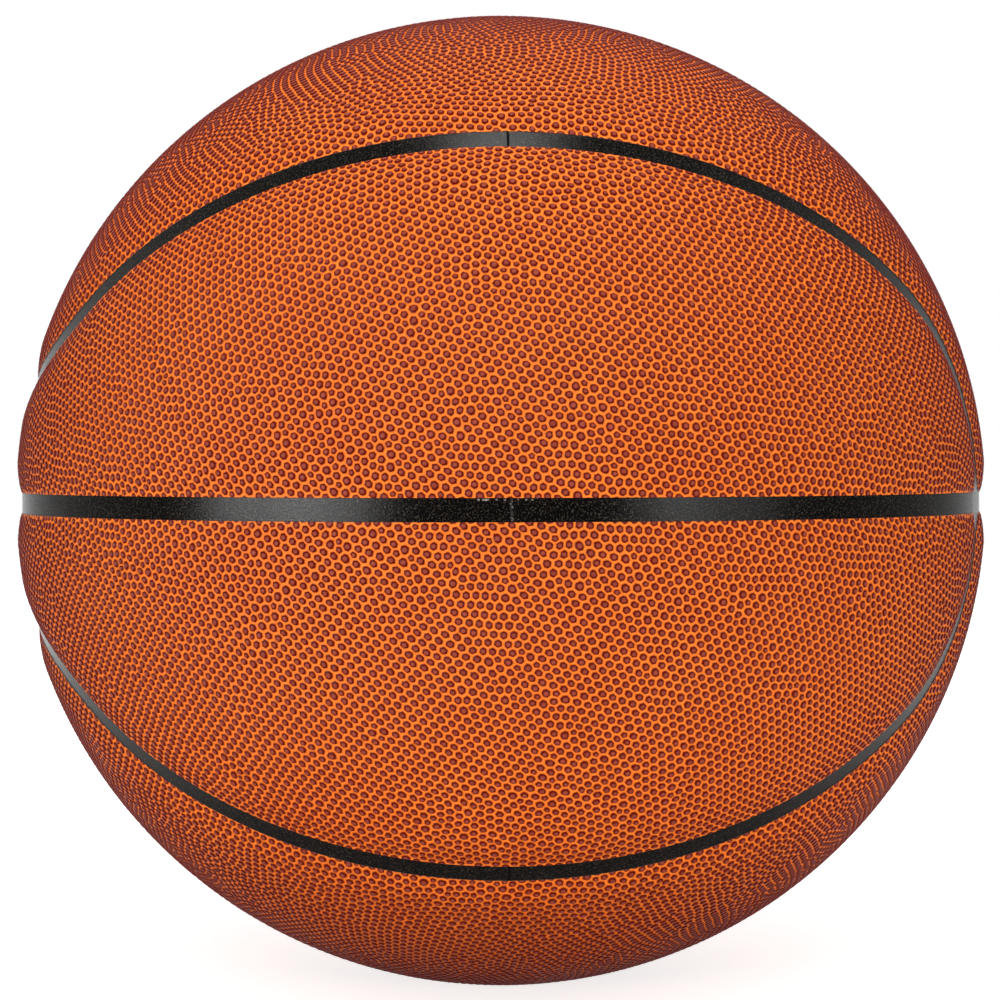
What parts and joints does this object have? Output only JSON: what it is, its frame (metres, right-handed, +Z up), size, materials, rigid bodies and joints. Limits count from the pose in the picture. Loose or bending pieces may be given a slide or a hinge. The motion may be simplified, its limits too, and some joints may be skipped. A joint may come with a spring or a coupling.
{
  "type": "basketball",
  "caption": "Inflated game ball with a pebbled cover of curved panels set between black rubber channels, over a wound bladder with a needle valve.",
  "frame": {"origin": "centre of the ball", "axes": "+Z up, square to the level seam circle; -Y through the middle of the oval that faces the camera; +X to that camera's right"},
  "size_m": [0.237, 0.2376, 0.2378],
  "materials": {
    "cover": "pebbled, soft sheen",
    "sponge": "open-cell sponge, matt",
    "channel_rubber": "moulded, matt",
    "thread": "wound thread in cement",
    "butyl": "smooth butyl",
    "valve_rubber": "smooth moulded"
  },
  "bodies": {
    "ball": {"front_upper_oval_panel": "cover", "front_lower_oval_panel": "cover", "back_upper_oval_panel": "cover", "back_lower_oval_panel": "cover", "front_upper_side_panel": "cover", "front_lower_side_panel": "cover", "back_upper_side_panel": "cover", "back_lower_side_panel": "cover", "front_upper_oval_pad": "sponge", "front_lower_oval_pad": "sponge", "back_upper_oval_pad": "sponge", "back_lower_oval_pad": "sponge", "front_upper_side_pad": "sponge", "front_lower_side_pad": "sponge", "back_upper_side_pad": "sponge", "back_lower_side_pad": "sponge", "carcass": "channel_rubber", "thread_winding": "thread", "bladder": "butyl", "valve_housing": "valve_rubber"},
    "plug": {"valve_plug": "valve_rubber"}
  },
  "joints": [
    {"name": "plug_pull", "type": "slide", "parent": "ball", "child": "plug", "axis": [0, 0.9135, -0.4067], "range_m": [0, 0.025]}
  ]
}
